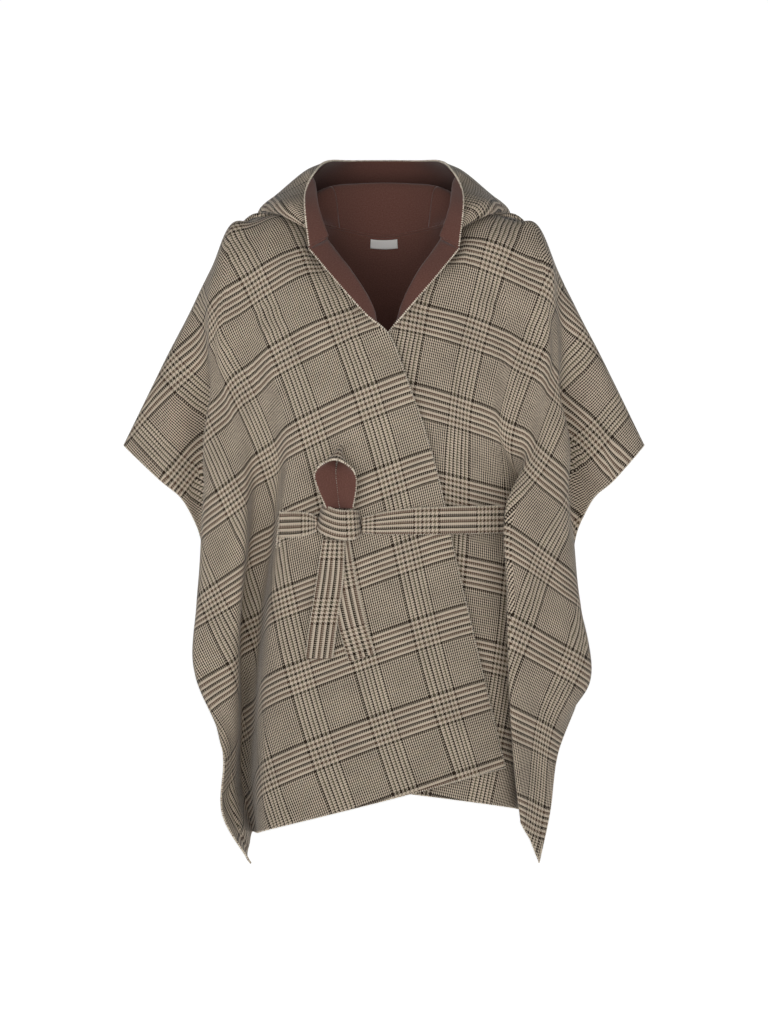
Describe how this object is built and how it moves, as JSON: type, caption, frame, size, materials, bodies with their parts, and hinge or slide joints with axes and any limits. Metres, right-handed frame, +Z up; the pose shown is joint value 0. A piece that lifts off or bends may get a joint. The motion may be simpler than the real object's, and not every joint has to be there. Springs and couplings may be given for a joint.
{
  "type": "hooded poncho",
  "caption": "Hooded wrap poncho of checked double-faced wool, open at the sides, with the hood laid back and a tie belt, in its worn form and empty.",
  "frame": {"origin": "between the shoulders, at the height of the shoulder seams, where the wearer holds the poncho up", "axes": "+Z up, -Y out of the front, +X to the wearer's left"},
  "size_m": [0.7782, 0.3785, 1.0634],
  "materials": {
    "checked_wool": "matte, brushed",
    "label_ribbon": "matte"
  },
  "bodies": {
    "root": {"front_right": "checked_wool", "front_left": "checked_wool", "back": "checked_wool", "hood_centre": "checked_wool", "hood_right": "checked_wool", "hood_left": "checked_wool", "belt_right_run": "checked_wool", "belt_left_run": "checked_wool", "belt_back_run": "checked_wool", "belt_knot": "checked_wool", "belt_loop": "checked_wool", "belt_tail_long": "checked_wool", "belt_tail_short": "checked_wool", "neck_label": "label_ribbon"}
  },
  "joints": []
}
